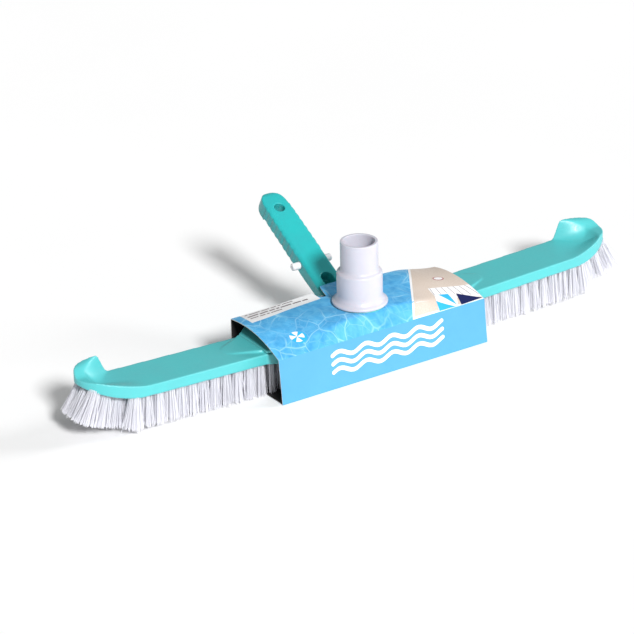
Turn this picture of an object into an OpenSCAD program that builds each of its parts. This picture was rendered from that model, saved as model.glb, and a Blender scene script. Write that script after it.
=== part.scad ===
// Pool wall brush with a suction port, a swivelling hose connector and a pivoting pole handle,
// shown in its printed card sleeve.
// Frame: millimetres, +Z up. The origin is on the floor, on the hose connector's axis.
// +X runs along the brush. +Y points to the handle's side.

/* [Brush body] */
// Width of each bristle arm, front to back
arm_w = 43.5; // [36:0.5:54]
// Arm centre line, measured back from the connector's axis
arm_y = 6.2; // [0:0.1:12]
// Height of the rim, which is the arm's thickness
rim_h = 9.4; // [8.5:0.1:12]
// Height of the centre's top face above the floor
top_z = 37.1; // [34:0.1:44]
// Half length of the flat centre, under the cover
flat_half = 103; // [96:0.5:110]
// Upward tilt of each arm, in degrees
arm_tilt = 1.77; // [0:0.01:4]
// Straight length of each arm, outside the flat centre
arm_len = 111; // [80:0.5:150]
// Radius of the curved ends, on the bristle side
bend_r = 110; // [90:1:130]
// Angle that the bristle side curls up, in degrees
bend_a = 26; // [24:0.1:28]
// Height of the upturned lip above the arm's top face
lip_h = 18; // [16:0.5:20]
// Slope of the lip's inner face, in degrees
lip_a = 52; // [48:1:60]
// Width of the flared centre, in front of the connector's axis
centre_front = 31; // [26:0.5:36]
// Width of the flared centre, behind the connector's axis
centre_back = 33; // [30:0.5:36]

/* [Bristles] */
// Free length of a tuft
tuft_len = 26.9; // [20:0.1:26.9]
// Radius of a tuft at its root
tuft_r = 2.55; // [1.5:0.05:3]
// Radius of a tuft at its tip
tuft_tip_r = 4.9; // [2:0.1:5]
// Depth of a tuft's hole
hole_depth = 5.5; // [4:0.1:5.6]
// Spacing of the tufts along the brush
pitch_x = 10.6; // [10:0.1:14]
// Spacing of the four rows
pitch_y = 10.6; // [10:0.1:11]

/* [Hose connector] */
// Radius of the upper hose step
hose_r = 15.85; // [15:0.05:17]
// Radius of the lower hose step
hose_low_r = 19.25; // [18.5:0.05:20]
// Radius of the flange
flange_r = 23.5; // [23:0.1:26]
// Height of the flange's underside
flange_z = 51.3; // [51:0.1:54]
// Height of the shoulder between the steps
step_z = 79; // [70:0.5:90]
// Height of the connector's mouth
mouth_z = 106.2; // [95:0.1:115]
// Bore radius at the mouth
bore_r = 13.1; // [10:0.1:13.5]

/* [Handle] */
// Handle's angle above level, in degrees
handle_tilt = 29; // [20:0.5:40]
// Pivot's distance behind the connector's axis
pivot_y = 34; // [33:0.1:36]
// Pivot's height
pivot_z = 42.5; // [42:0.1:44]
// Length from the pivot to the tip
handle_len = 119; // [95:1:140]
// Width at the fork
handle_w = 26.5; // [24:0.5:29]
// Width at the tip
handle_tip_w = 23; // [20:0.5:26]
// Radius of the hanging hole
hang_r = 4.75; // [3:0.05:6]
// Hanging hole's distance from the pivot
hang_x = 101.5; // [80:0.5:110]
// Radius of each clip button
button_r = 3.25; // [2.5:0.05:4]
// Clip buttons' distance from the pivot
button_x = 43; // [38:0.5:50]
// How far each button's tip is from the handle's centre line
button_reach = 19.8; // [17:0.1:22]

/* [Card sleeve] */
// Half length of the sleeve along the brush
card_half = 103.3; // [95:0.1:110]
// Thickness of the card
card_t = 0.6; // [0.4:0.1:0.8]
// Height of the front panel's fold
fold_z = 38.6; // [36:0.1:40]
// Height of the crown
crown_z = 51; // [50:0.1:51]

/* [Hidden] */
$fn = 64;
eps = 0.02;
big = 400;
// body
arm_front = arm_y - arm_w / 2;
arm_back = arm_y + arm_w / 2;
flare = 28;
under_z = top_z - rim_h;
end_x = arm_len + bend_r * sin(bend_a);
end_z = -rim_h + bend_r * (1 - cos(bend_a));
// the arm's root: how far it reaches into the centre, and its small step down from it
root = 2;
root_step = 0.15;
nose_r = 6;
nose_x = end_x - nose_r * sin(bend_a);
nose_z = end_z + nose_r * cos(bend_a);
nose_a = 138;
nose_step = 14;
crease_x = arm_len + 25;
corner_step = 11;
crest_x = crease_x + lip_h / tan(lip_a);
crest_w = 2;
lip_front = 8.5;
lip_back = 15.5;
lip_flat = [9, 17.5];
outline_tilt = 20;
sweep_u = 50;
corner_r = 14;
corner_v = arm_w / 2 - corner_r;
tuft_edge = 4.4;
outline_u = (nose_x + nose_r) * cos(outline_tilt) + nose_z * sin(outline_tilt);
dish_r = 24;
dish_spread = 3.5;
ramp_rise = 2.2;
ramp_len = 27;
ramp_step = 4;
ramp_y = 2;
ramp_half = 19;
ramp_tip_r = 9;
window_x = [14, 62];
window_y = [-9, 21.5];
pocket_half = 14.6;
pocket_y = 26.2;
pocket_z = 35.6;
// tufts: columns and rows
row_y = [for (i = [-1.5:1:1.5]) arm_y + i * pitch_y];
arm_cols = 11;
arm_first = 5;
bend_first = 5.4;
bend_step = 5.4;
bend_cols = 4;
centre_cols = 6;
shoulder_x = [76.2, 86.8, 97.4];
wide_rows = [-25.2, -14.6, 27];
rib_rows = [-4.4, 6.2, 16.8];
anchor = [0.5, 4.2, 1.8];
slot_gap = 0.06;
// cover
crown_r = 85;
crown_y = 6;
crown_c = -38;
cover_wall = 2.4;
cover_end = 102.8;
cover_end_z = 39.2;
cover_top_x = 82;
cover_top_z = 47.5;
boss_r = 22.2;
boss_z = 51.1;
boss_low = 44.9;
stem_r = 17.95;
running = 0.05;
counter_r = 20.2;
screw_x = 70;
screw_rows = [-3, 15.4];
screw_r = 1.5;
screw_head_r = 3;
screw_head_h = 2.2;
screw_sink = 0.1;
screw_len = 14;
post_r = 4;
// connector
stem_low = 42;
stem_bore = 15;
low_bore = 16.4;
seal_z = 48;
seal_r = 0.74;
seal_groove = 1.5;
ring_z = 43.4;
ring_t = 1.4;
ring_groove_r = 16.55;
ring_r = 19.8;
// handle
handle_mid = -1.5;
handle_t = 12.8;
handle_wall = 2.2;
edge_r = 4.5;
knuckle_r = 6.5;
fork_half = 5.5;
fork_len = 25;
// the web that closes the fork's underside starts here and is this high
web_x = 9;
web_h = -5.2;
skirt_x = 103;
skirt_drop = 1.8;
cavity_x = 30;
tongue_half = 5.3;
bolt_r = 2.5;
prong_half = handle_w / 2;
washer_t = 0.8;
washer_r = 5;
bolt_head_r = 4.6;
bolt_head_h = 3;
bolt_end = 19;
nut_af = 8;
nut_h = 4;
// the bay's half length and half height around the bolt's two ends
bolt_room = 19.6;
bolt_room_r = 5.2;
button_h = -2.2;
button_gap = 0.08;
button_flange_r = 4.2;
button_flange_x = 8.9;
button_flange_t = 1.2;
leaf_t = 0.8;
leaf_h = 6;
leaf_x = 8.3;
leaf_open = 37.6;
leaf_bend = 49;
leaf_apex = 66;
rib_x = 68;
rib_t = 1.6;
// card
card_front_low = 38.6;
card_front_top = 34.2;
card_back = 38;
arch_y = 18;
arch_c = (pow(crown_z, 2) - pow(fold_z, 2) - pow(card_front_top + arch_y, 2)) / (2 * (crown_z - fold_z));
arch_r = crown_z - arch_c;
card_hole_r = 22.7;
notch_half = 22.4;
notch_y = 26.6;
notch_z = 30;

teal = [0.27, 0.78, 0.79];
white = [0.93, 0.93, 0.96];
nylon = [0.95, 0.95, 0.97];
steel = [0.72, 0.73, 0.75];
brass = [0.78, 0.62, 0.32];
black = [0.1, 0.1, 0.11];
card = [0.43, 0.78, 0.95];

// Places an arm's geometry: local x along the arm, z = 0 on its top face
module arm_frame(side) {
  mirror([side < 0 ? 1 : 0, 0, 0])
    translate([flat_half, arm_y, top_z - root_step]) rotate([0, -arm_tilt, 0]) children();
}

// Extrudes a shape drawn in x and z, centred on y = 0
module across(w) {
  rotate([90, 0, 0]) translate([0, 0, -w / 2]) linear_extrude(w) children();
}

// The arm seen from the front: a flat rim, a curved underside, a round nose and the lip
module arm_side() {
  polygon(concat(
    [[-root, 0], [-root, -rim_h]],
    [for (a = [0:bend_a / 10:bend_a]) [arm_len + bend_r * sin(a), -rim_h + bend_r * (1 - cos(a))]],
    [for (a = [bend_a + nose_step:nose_step:nose_a]) [nose_x + nose_r * sin(a), nose_z - nose_r * cos(a)]],
    [[crest_x + crest_w, lip_h], [crest_x - corner_step, lip_h], [crease_x - corner_step, 0]]));
}

// The lip seen along the brush: it is highest towards the handle's side
module lip_front_view() {
  w = arm_w / 2;
  polygon([[-w, -20], [-w, lip_front], [lip_flat[0], lip_h + 1], [lip_flat[1], lip_h + 1],
    [w, lip_back], [w, -20]]);
}

// The arm's end seen from above: a long sweep in from the front edge and a tighter corner at the back
module arm_outline() {
  w = arm_w / 2;
  polygon(concat(
    [[-big, w], [-big, -w]],
    [for (a = [0:6:84]) [outline_u - sweep_u * (1 - sin(a)), corner_v - (w + corner_v) * cos(a)]],
    [for (a = [0:10:90]) [outline_u - corner_r * (1 - cos(a)), corner_v + corner_r * sin(a)]]));
}

// How far forward the arm's end reaches at u
function sweep_v(u) = corner_v - (arm_w / 2 + corner_v)
  * sqrt(1 - pow(min(1, max(0, u - outline_u + sweep_u) / sweep_u), 2));

// The hollow in front of the lip, cut along the lip's slope and no lower than the arm's top face
module dish() intersection() {
  translate([crease_x, 0, 0]) rotate([0, 90 - lip_a, 0]) translate([0, 0, -big / 4])
    linear_extrude(big / 2) {
      for (s = [-1, 1]) translate([-dish_r, s * dish_spread]) circle(dish_r, $fn = 72);
      translate([-2 * dish_r, -dish_r - dish_spread]) square([dish_r, 2 * (dish_r + dish_spread)]);
      translate([-dish_r, -dish_spread]) square([dish_r, 2 * dish_spread]);
    }
  translate([0, -arm_w, 0]) cube([big / 2, 2 * arm_w, 2 * lip_h]);
}

// The low ramp that leads from the arm up to the cover
module ramp() intersection() {
  across(arm_w) polygon([[-0.1, -1], [-0.1, ramp_rise], [ramp_len + ramp_step, 0], [ramp_len + ramp_step, -1]]);
  translate([0, 0, -1]) linear_extrude(1 + ramp_rise) polygon(concat(
    [[-0.1, ramp_y + ramp_half], [-0.1, ramp_y - ramp_half]],
    [for (a = [-75:15:75]) [ramp_len - ramp_tip_r + ramp_tip_r * cos(a), ramp_y + ramp_tip_r * sin(a)]]));
}

module arm_solid() {
  difference() {
    intersection() {
      across(arm_w) arm_side();
      translate([-1, 0, 0]) rotate([90, 0, 90]) linear_extrude(arm_len + 100) lip_front_view();
      rotate([0, -outline_tilt, 0]) translate([0, 0, -big / 2]) linear_extrude(big) arm_outline();
    }
    dish();
  }
  ramp();
}

// The flared centre's outline, drawn inwards by i
module centre_outline(i, half) {
  d = i * tan(flare / 2);
  e = i + (half - flat_half) * tan(flare);
  front = centre_front - i;
  back = centre_back - i;
  ff = (centre_front + arm_front) / tan(flare);
  fb = (centre_back - arm_back) / tan(flare);
  polygon([[-half, arm_front + e], [-flat_half + ff + d, -front], [flat_half - ff - d, -front],
    [half, arm_front + e], [half, arm_back - e], [flat_half - fb - d, back],
    [-flat_half + fb + d, back], [-half, arm_back - e]]);
}

// A tuft's place: z = 0 on the bristle face, -z pointing out along the bristles
module arm_column(i) {
  translate([arm_first + i * pitch_x, 0, -rim_h]) children();
}

function bend_x(j) = arm_len + bend_r * sin(bend_first + j * bend_step);

module bend_column(j) {
  a = bend_first + j * bend_step;
  translate([bend_x(j), 0, -rim_h + bend_r * (1 - cos(a))]) rotate([0, -a, 0]) children();
}

module arm_tufts(side) {
  arm_frame(side) for (i = [0:arm_cols - 1], y = row_y)
    arm_column(i) translate([0, y - arm_y, 0]) children();
}

// The front row stops where the arm's end sweeps in
module end_tufts(side) {
  arm_frame(side) for (j = [0:bend_cols - 1], y = row_y)
    if (y - arm_y > sweep_v((bend_x(j) + tuft_r) * cos(outline_tilt) - rim_h * sin(outline_tilt)) + tuft_edge)
      bend_column(j) translate([0, y - arm_y, 0]) children();
}

module centre_tufts() {
  translate([0, 0, under_z]) {
    for (s = [-1, 1], x = shoulder_x, y = row_y) translate([s * x, y, 0]) children();
    for (i = [-centre_cols:centre_cols], y = wide_rows) translate([i * pitch_x, y, 0]) children();
    for (y = rib_rows) translate([0, y, 0]) children();
  }
}

module tuft_hole() {
  translate([0, 0, -1]) cylinder(h = hole_depth + 1, r = tuft_r + running, $fn = 20);
}

module tuft() {
  difference() {
    union() {
      cylinder(h = hole_depth, r = tuft_r, $fn = 20);
      translate([0, 0, -tuft_len])
        cylinder(h = tuft_len, r1 = tuft_tip_r, r2 = tuft_r, $fn = 20);
    }
    translate([-anchor[0] / 2 - slot_gap, -tuft_r - 1, hole_depth - anchor[2] - slot_gap])
      cube([anchor[0] + 2 * slot_gap, 2 * tuft_r + 2, anchor[2] + 1]);
  }
}

module staple() {
  translate([-anchor[0] / 2, -anchor[1] / 2, hole_depth - anchor[2]]) cube(anchor);
}

module brush_body() color(teal) difference() {
  union() {
    translate([0, 0, under_z]) linear_extrude(rim_h) centre_outline(0, flat_half + root / 2);
    for (s = [-1, 1]) arm_frame(s) arm_solid();
  }
  for (s = [-1, 1]) {
    arm_tufts(s) tuft_hole();
    end_tufts(s) tuft_hole();
    translate([s > 0 ? window_x[0] : -window_x[1], window_y[0], under_z - 1])
      cube([window_x[1] - window_x[0], window_y[1] - window_y[0], rim_h + 2]);
    for (y = screw_rows) translate([s * screw_x, y, under_z - 1]) {
      cylinder(h = rim_h + 2, r = screw_r + running);
      cylinder(h = 1 + screw_sink + screw_head_h + running, r = screw_head_r + 0.2);
    }
  }
  centre_tufts() tuft_hole();
  translate([-pocket_half, pocket_y, pocket_z]) cube([2 * pocket_half, 20, 20]);
}

module crown(inset) {
  intersection() {
    translate([0, 0, top_z]) linear_extrude(20) centre_outline(1 + inset, cover_end - inset);
    translate([-big / 2, crown_y, crown_c]) rotate([0, 90, 0])
      cylinder(h = big, r = crown_r - inset, $fn = 240);
    translate([0, centre_back, 0]) across(4 * centre_back) polygon([
      [-cover_end + inset, top_z], [-cover_end + inset, cover_end_z - inset / 2],
      [-cover_top_x, cover_top_z - inset / 2], [cover_top_x, cover_top_z - inset / 2],
      [cover_end - inset, cover_end_z - inset / 2], [cover_end - inset, top_z]]);
  }
}

// The cover's bay for the handle's fork, stepped wider for the bolt's head and nut, drawn outwards by o
module pivot_pocket(o) {
  translate([-pocket_half - o, pocket_y - o, 0]) cube([2 * (pocket_half + o), 20, big]);
  translate([-bolt_room - o, pivot_y - bolt_room_r - o, 0]) cube([2 * (bolt_room + o), 20, big]);
}

module centre_cover() color(teal) difference() {
  union() {
    difference() {
      union() {
        crown(0);
        intersection() {
          translate([0, 0, top_z]) cylinder(h = boss_z - top_z, r = boss_r, $fn = 96);
          translate([-big / 2, -big / 2, top_z]) cube([big, big / 2 + pocket_y, 20]);
        }
      }
      translate([0, 0, -eps]) difference() {
        crown(cover_wall);
        pivot_pocket(cover_wall);
      }
      pivot_pocket(0);
    }
    intersection() {
      for (s = [-1, 1], y = screw_rows) translate([s * screw_x, y, top_z])
        cylinder(h = 20, r = post_r, $fn = 40);
      crown(cover_wall / 2);
    }
    translate([-tongue_half, pivot_y, pivot_z]) rotate([0, 90, 0])
      cylinder(h = 2 * tongue_half, r = knuckle_r - 0.3);
    translate([-tongue_half, pocket_y - cover_wall, top_z])
      cube([2 * tongue_half, pivot_y + 2 - pocket_y + cover_wall, pivot_z - top_z]);
  }
  translate([0, 0, boss_low]) cylinder(h = 20, r = stem_r + running, $fn = 96);
  translate([0, 0, 0]) cylinder(h = boss_low, r = counter_r, $fn = 96);
  translate([-20, pivot_y, pivot_z]) rotate([0, 90, 0]) cylinder(h = 40, r = bolt_r + running);
  for (s = [-1, 1], y = screw_rows) translate([s * screw_x, y, 0])
    cylinder(h = under_z + screw_len + 0.3, r = screw_r + running);
}

module cover_screws() color(steel)
  for (s = [-1, 1], y = screw_rows) translate([s * screw_x, y, under_z]) difference() {
    union() {
      translate([0, 0, screw_sink]) cylinder(h = screw_head_h, r = screw_head_r);
      translate([0, 0, screw_sink]) cylinder(h = screw_len, r = screw_r);
    }
    for (a = [0, 90]) rotate([0, 0, a]) translate([-2, -0.4, -1]) cube([4, 0.8, 2.2]);
  }

module tufts_arm_left() color(nylon) arm_tufts(-1) tuft();
module tufts_arm_right() color(nylon) arm_tufts(1) tuft();
module tufts_end_left() color(nylon) end_tufts(-1) tuft();
module tufts_end_right() color(nylon) end_tufts(1) tuft();
module tufts_centre() color(nylon) centre_tufts() tuft();
module anchors_arm_left() color(brass) arm_tufts(-1) staple();
module anchors_arm_right() color(brass) arm_tufts(1) staple();
module anchors_end_left() color(brass) end_tufts(-1) staple();
module anchors_end_right() color(brass) end_tufts(1) staple();
module anchors_centre() color(brass) centre_tufts() staple();

module hose_connector() color(white) rotate_extrude($fn = 128) polygon([
  [stem_bore, stem_low], [stem_r - 0.6, stem_low], [stem_r, stem_low + 0.6],
  [stem_r, ring_z - running], [ring_groove_r, ring_z - running],
  [ring_groove_r, ring_z + ring_t + running], [stem_r, ring_z + ring_t + running],
  [stem_r, seal_z - 0.9], [stem_r + running - seal_groove, seal_z - 0.9],
  [stem_r + running - seal_groove, seal_z + 0.9], [stem_r, seal_z + 0.9],
  [stem_r, flange_z], [flange_r - 0.5, flange_z], [flange_r, flange_z + 0.5],
  [flange_r, flange_z + 1.3], [flange_r - 2.2, flange_z + 3.2], [hose_low_r, flange_z + 6.5],
  [hose_low_r, step_z - 1], [hose_low_r - 0.8, step_z], [hose_r + 0.7, step_z + 1.4],
  [hose_r, step_z + 2.4], [hose_r, mouth_z - 0.9], [hose_r - 0.6, mouth_z],
  [bore_r + 0.4, mouth_z], [bore_r, mouth_z - 0.5], [bore_r, step_z - 1],
  [low_bore, step_z - 4], [low_bore, flange_z + 6], [stem_bore, flange_z + 2]]);

module swivel_seal() color(black) translate([0, 0, seal_z])
  rotate_extrude($fn = 96) translate([stem_r + running - seal_groove / 2, 0]) circle(seal_r, $fn = 24);

module retaining_ring() color(steel) translate([0, 0, ring_z]) difference() {
  cylinder(h = ring_t, r = ring_r, $fn = 96);
  translate([0, 0, -1]) cylinder(h = ring_t + 2, r = ring_groove_r + running, $fn = 96);
  translate([0, -2.5, -1]) cube([ring_r + 1, 5, ring_t + 2]);
}

// Places the handle's geometry: local x to the tip, y across, z to the top face
module handle_frame() {
  translate([0, pivot_y, pivot_z]) rotate([handle_tilt, 0, 0]) rotate([0, 0, 90]) children();
}

module handle_side() {
  low = handle_mid - handle_t / 2;
  high = handle_mid + handle_t / 2;
  circle(knuckle_r);
  polygon([[0, -knuckle_r], [cavity_x, low], [skirt_x, low], [skirt_x, low - skirt_drop],
    [handle_len, low - skirt_drop], [handle_len, high - edge_r], [handle_len - edge_r, high],
    [0, high]]);
  translate([handle_len - edge_r, high - edge_r]) circle(edge_r);
}

// The handle seen from above, drawn inwards by i
module handle_plan(i) {
  r = handle_tip_w / 2 - i;
  w = handle_w / 2 - i;
  polygon(concat(
    [[0, -w], [-knuckle_r - 1, -w], [-knuckle_r - 1, w], [0, w]],
    [for (a = [90:-5:-90]) [handle_len - handle_tip_w / 2 + r * cos(a), r * sin(a)]]));
}

module handle_section() {
  high = handle_mid + handle_t / 2;
  translate([-handle_w / 2 + edge_r, -20]) square([handle_w - 2 * edge_r, high + 20]);
  translate([-handle_w / 2, -20]) square([handle_w, high - edge_r + 20]);
  for (s = [-1, 1]) translate([s * (handle_w / 2 - edge_r), high - edge_r]) circle(edge_r);
}

module handle() color(teal) handle_frame() difference() {
  intersection() {
    across(handle_w) handle_side();
    translate([0, 0, -20]) linear_extrude(40) handle_plan(0);
    translate([-knuckle_r - 1, 0, 0]) rotate([90, 0, 90])
      linear_extrude(handle_len + knuckle_r + 2) handle_section();
  }
  difference() {
    translate([0, 0, handle_mid - handle_t]) linear_extrude(1.5 * handle_t - handle_wall)
      intersection() {
        handle_plan(handle_wall);
        translate([cavity_x, -20]) square([handle_len, 40]);
      }
    translate([rib_x, -20, -3]) cube([rib_t, 40, 20]);
    translate([hang_x, 0, -20]) cylinder(h = 40, r = hang_r + handle_wall);
  }
  translate([hang_x, 0, -20]) cylinder(h = 40, r = hang_r);
  translate([-20, -fork_half, -20]) cube([20 + web_x, 2 * fork_half, 40]);
  translate([0, -fork_half, web_h]) cube([fork_len - fork_half, 2 * fork_half, 20]);
  translate([fork_len - fork_half, 0, web_h]) cylinder(h = 20, r = fork_half);
  across(40) circle(bolt_r + running);
  translate([button_x, 0, button_h]) across(40) circle(button_r + button_gap);
}

// A flat strip from p to q
module strip(p, q, t) {
  d = q - p;
  translate(p) rotate(atan2(d[1], d[0])) translate([0, -t / 2]) square([norm(d), t]);
}

module clip_spring() color(steel) handle_frame()
  translate([0, 0, button_h - leaf_h / 2]) linear_extrude(leaf_h) {
    for (s = [-1, 1]) {
      strip([leaf_open, s * leaf_x], [leaf_bend, s * leaf_x], leaf_t);
      translate([leaf_bend, s * leaf_x]) circle(leaf_t / 2, $fn = 24);
      strip([leaf_bend, s * leaf_x], [leaf_apex, s * 0.9], leaf_t);
    }
    translate([leaf_apex, 0]) circle(0.9 + leaf_t / 2, $fn = 32);
  }

// Local y is -X here, so the left button is on +y
module button(side) handle_frame() translate([button_x, 0, button_h])
  rotate([side * 90, 0, 0]) {
    translate([0, 0, button_flange_x]) cylinder(h = button_flange_t, r = button_flange_r);
    translate([0, 0, button_flange_x]) cylinder(h = button_reach - button_flange_x - 0.8, r = button_r);
    translate([0, 0, button_reach - 0.8])
      cylinder(h = 0.8, r1 = button_r, r2 = button_r - 0.8);
  }

module button_left() color(white) button(-1);
module button_right() color(white) button(1);

module pivot_frame() translate([0, pivot_y, pivot_z]) rotate([0, 90, 0]) children();

module pivot_bolt() color(steel) pivot_frame() difference() {
  union() {
    translate([0, 0, -prong_half - washer_t - bolt_head_h - 0.1])
      cylinder(h = bolt_head_h, r = bolt_head_r);
    translate([0, 0, -prong_half - washer_t - 0.2])
      cylinder(h = bolt_end + prong_half + washer_t + 0.2, r = bolt_r);
  }
  translate([0, 0, -prong_half - washer_t - bolt_head_h - 1])
    cylinder(h = 2.6, r = 1.7, $fn = 6);
}

module pivot_washers() color(steel) pivot_frame()
  for (s = [-1, 1]) translate([0, 0, s > 0 ? prong_half + 0.05 : -prong_half - washer_t - 0.05])
    difference() {
      cylinder(h = washer_t, r = washer_r);
      translate([0, 0, -1]) cylinder(h = washer_t + 2, r = bolt_r + running);
    }

module pivot_nut() color(steel) pivot_frame()
  translate([0, 0, prong_half + washer_t + 0.1]) difference() {
    cylinder(h = nut_h, r = nut_af / 2 / cos(30), $fn = 6);
    translate([0, 0, -1]) cylinder(h = nut_h + 2, r = bolt_r);
  }

// The sleeve's section in y and z, drawn inwards by t
module card_section(t) intersection() {
  polygon([[-card_front_low + t, t], [-card_front_top + t, fold_z - t / 2], [-card_front_top + t, big],
    [card_back - t, big], [card_back - t, t]]);
  translate([arch_y, arch_c]) circle(arch_r - t, $fn = 240);
}

module card_sleeve() color(card) difference() {
  translate([-card_half, 0, 0]) rotate([90, 0, 90]) linear_extrude(2 * card_half) difference() {
    card_section(0);
    card_section(card_t);
  }
  translate([0, 0, fold_z]) cylinder(h = 30, r = card_hole_r, $fn = 96);
  translate([-notch_half, notch_y, notch_z]) cube([2 * notch_half, 40, 60]);
}

brush_body();
centre_cover();
cover_screws();
tufts_arm_left();
tufts_arm_right();
tufts_end_left();
tufts_end_right();
tufts_centre();
anchors_arm_left();
anchors_arm_right();
anchors_end_left();
anchors_end_right();
anchors_centre();
hose_connector();
swivel_seal();
retaining_ring();
handle();
clip_spring();
button_left();
button_right();
pivot_bolt();
pivot_washers();
pivot_nut();
card_sleeve();
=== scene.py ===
import math

import bmesh
import bpy
import numpy as np
from mathutils import Matrix, Vector


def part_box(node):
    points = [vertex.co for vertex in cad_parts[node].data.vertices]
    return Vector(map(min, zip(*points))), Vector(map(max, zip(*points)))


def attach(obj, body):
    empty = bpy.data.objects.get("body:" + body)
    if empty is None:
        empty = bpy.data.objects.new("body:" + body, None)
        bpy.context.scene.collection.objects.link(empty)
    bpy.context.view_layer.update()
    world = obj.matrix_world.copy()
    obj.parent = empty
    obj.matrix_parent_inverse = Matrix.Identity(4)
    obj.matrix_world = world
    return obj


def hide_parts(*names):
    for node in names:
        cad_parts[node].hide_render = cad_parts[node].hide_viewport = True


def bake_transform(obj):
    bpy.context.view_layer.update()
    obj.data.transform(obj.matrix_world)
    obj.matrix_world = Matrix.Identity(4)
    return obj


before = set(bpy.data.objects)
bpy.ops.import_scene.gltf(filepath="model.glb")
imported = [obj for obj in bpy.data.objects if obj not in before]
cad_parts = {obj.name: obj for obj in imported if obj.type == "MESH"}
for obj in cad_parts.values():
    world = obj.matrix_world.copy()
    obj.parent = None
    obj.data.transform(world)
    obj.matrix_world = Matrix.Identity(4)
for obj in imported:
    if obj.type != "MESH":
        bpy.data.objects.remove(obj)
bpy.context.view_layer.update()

MM = 0.001

# ---------------------------------------------------------------- camera, light and floor

CAMERA_AZIMUTH, CAMERA_ELEVATION, CAMERA_ROLL = 33.17, 24.54, -1.32
CAMERA_DISTANCE = 2.547
CAMERA_ASIDE, CAMERA_ABOVE = -0.0368, 0.0335
CAMERA_LENS = 172.4

FLOOR_REACH = 14
# Just under the card, whose bottom panel lies at height 0
FLOOR_Z = -0.3 * MM


def make_camera():
    az, el, roll = (math.radians(a) for a in (CAMERA_AZIMUTH, CAMERA_ELEVATION, CAMERA_ROLL))
    back = Vector((-math.sin(az) * math.cos(el), -math.cos(az) * math.cos(el), math.sin(el)))
    right = Vector((math.cos(az), -math.sin(az), 0))
    up = back.cross(right)
    across = right * math.cos(roll) + up * math.sin(roll)
    above = up * math.cos(roll) - right * math.sin(roll)
    data = bpy.data.cameras.new("camera")
    data.sensor_width = 36
    data.lens = CAMERA_LENS
    data.clip_end = 30
    camera = bpy.data.objects.new("camera", data)
    bpy.context.scene.collection.objects.link(camera)
    place = across * CAMERA_ASIDE + above * CAMERA_ABOVE + back * CAMERA_DISTANCE
    axes = Matrix((across, above, back)).transposed().to_4x4()
    camera.matrix_world = Matrix.Translation(place) @ axes
    bpy.context.scene.camera = camera


def softbox(name, place, strength, spread_deg):
    """A far, soft light that shines from place towards the object."""
    data = bpy.data.lights.new(name, "SUN")
    data.energy = strength
    data.angle = math.radians(spread_deg)
    light = bpy.data.objects.new(name, data)
    bpy.context.scene.collection.objects.link(light)
    light.location = place
    light.rotation_euler = (-Vector(place)).to_track_quat("-Z", "Y").to_euler()


def make_studio():
    softbox("key", (-0.40, -2.70, 1.86), 3.74, 12)
    softbox("side", (2.35, -0.75, 1.15), 1.05, 20)
    world = bpy.data.worlds.new("studio")
    world.use_nodes = True
    sky = world.node_tree.nodes["Background"]
    sky.inputs["Color"].default_value = (1, 1, 1, 1)
    sky.inputs["Strength"].default_value = 0.245
    bpy.context.scene.world = world
    bpy.context.scene.view_settings.view_transform = "Standard"
    mesh = bpy.data.meshes.new("floor")
    corners = ((-FLOOR_REACH, -FLOOR_REACH), (FLOOR_REACH, -FLOOR_REACH),
               (FLOOR_REACH, FLOOR_REACH), (-FLOOR_REACH, FLOOR_REACH))
    mesh.from_pydata([(x, y, FLOOR_Z) for x, y in corners], [], [(0, 1, 2, 3)])
    floor = bpy.data.objects.new("floor", mesh)
    bpy.context.scene.collection.objects.link(floor)
    floor.data.materials.append(floor_material())


# ---------------------------------------------------------------- materials


def start_material(name):
    """A new material, its node tree and its Principled node."""
    material = bpy.data.materials.new(name)
    material.use_nodes = True
    return material, material.node_tree, material.node_tree.nodes["Principled BSDF"]


def add(tree, kind, sockets=None, **settings):
    """A new shader node with the given settings and unlinked socket values."""
    node = tree.nodes.new("ShaderNode" + kind)
    for key, value in settings.items():
        setattr(node, key, value)
    for key, value in (sockets or {}).items():
        node.inputs[key].default_value = value
    return node


def place_of(tree, stretch=(1, 1, 1)):
    """Object coordinates, stretched along each axis."""
    coordinates = add(tree, "TexCoord")
    mapping = add(tree, "Mapping", {"Scale": stretch})
    tree.links.new(coordinates.outputs["Object"], mapping.inputs["Vector"])
    return mapping.outputs["Vector"]


def noise(tree, vector, scale, detail=3.0, roughness=0.5):
    node = add(tree, "TexNoise", {"Scale": scale, "Detail": detail, "Roughness": roughness})
    tree.links.new(vector, node.inputs["Vector"])
    return node.outputs["Fac"]


def spread(tree, value, low, high, to_low=0.0, to_high=1.0):
    """Maps low..high to to_low..to_high, clamped."""
    node = add(tree, "MapRange", {"From Min": low, "From Max": high, "To Min": to_low, "To Max": to_high})
    tree.links.new(value, node.inputs["Value"])
    return node.outputs["Result"]


def blend_colours(tree, share, first, second):
    """first where share is 0 and second where it is 1. Each is a colour or a socket."""
    node = add(tree, "Mix", data_type="RGBA")
    tree.links.new(share, node.inputs[0])
    for socket, colour in ((node.inputs[6], first), (node.inputs[7], second)):
        if isinstance(colour, tuple):
            socket.default_value = (*colour, 1)
        else:
            tree.links.new(colour, socket)
    return node.outputs[2]


def maths(tree, operation, first, second):
    """The result of one Math node. first and second are each a number or a socket."""
    node = add(tree, "Math", operation=operation)
    for socket, value in zip(node.inputs, (first, second)):
        if isinstance(value, (int, float)):
            socket.default_value = value
        else:
            tree.links.new(value, socket)
    return node.outputs["Value"]


def emboss(tree, bsdf, height, strength, distance):
    node = add(tree, "Bump", {"Strength": strength, "Distance": distance})
    tree.links.new(height, node.inputs["Height"])
    tree.links.new(node.outputs["Normal"], bsdf.inputs["Normal"])


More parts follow.
